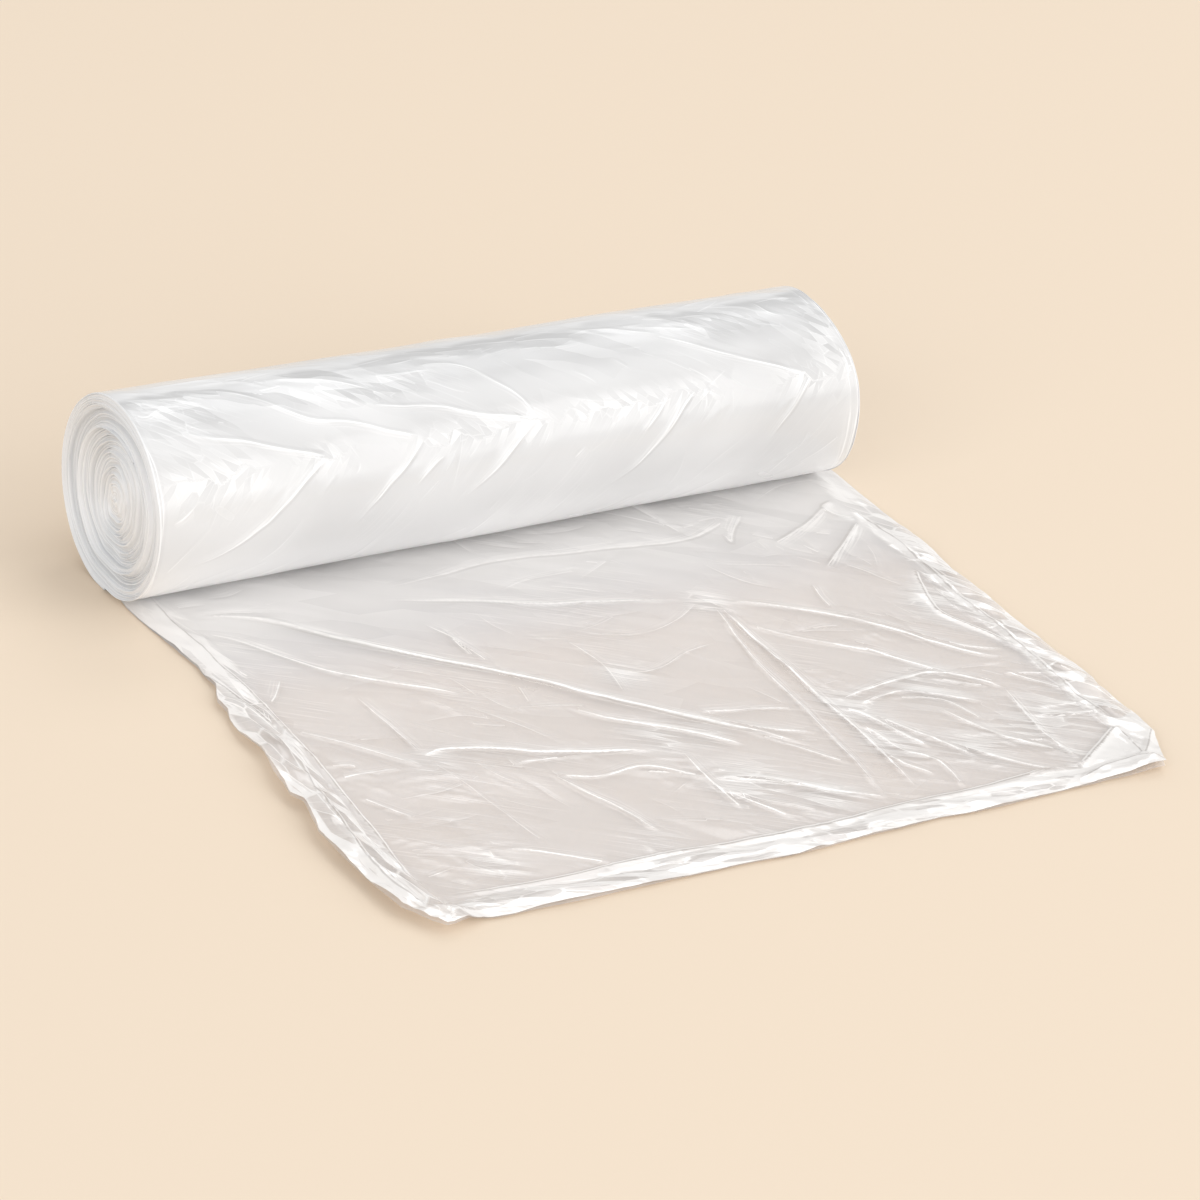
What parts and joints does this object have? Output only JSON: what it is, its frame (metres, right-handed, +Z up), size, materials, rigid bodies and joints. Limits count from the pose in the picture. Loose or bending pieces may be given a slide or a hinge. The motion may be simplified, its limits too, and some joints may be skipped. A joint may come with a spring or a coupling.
{
  "type": "bin bag roll",
  "caption": "Coreless roll of thin white bin bags lying on its side, with the last bag unrolled flat in front of it.",
  "frame": {"origin": "on the surface that the roll lies on, under the middle of the whole part's box", "axes": "+X along the roll from its left end to its right end, +Z up, and the loose bag reaches towards -Y"},
  "size_m": [0.3228, 0.2796, 0.0742],
  "materials": {
    "film": "thin crinkled polyethylene film, white and slightly see-through in a single bag, glossy along its creases"
  },
  "bodies": {
    "root": {"bag_roll": "film"}
  },
  "joints": []
}
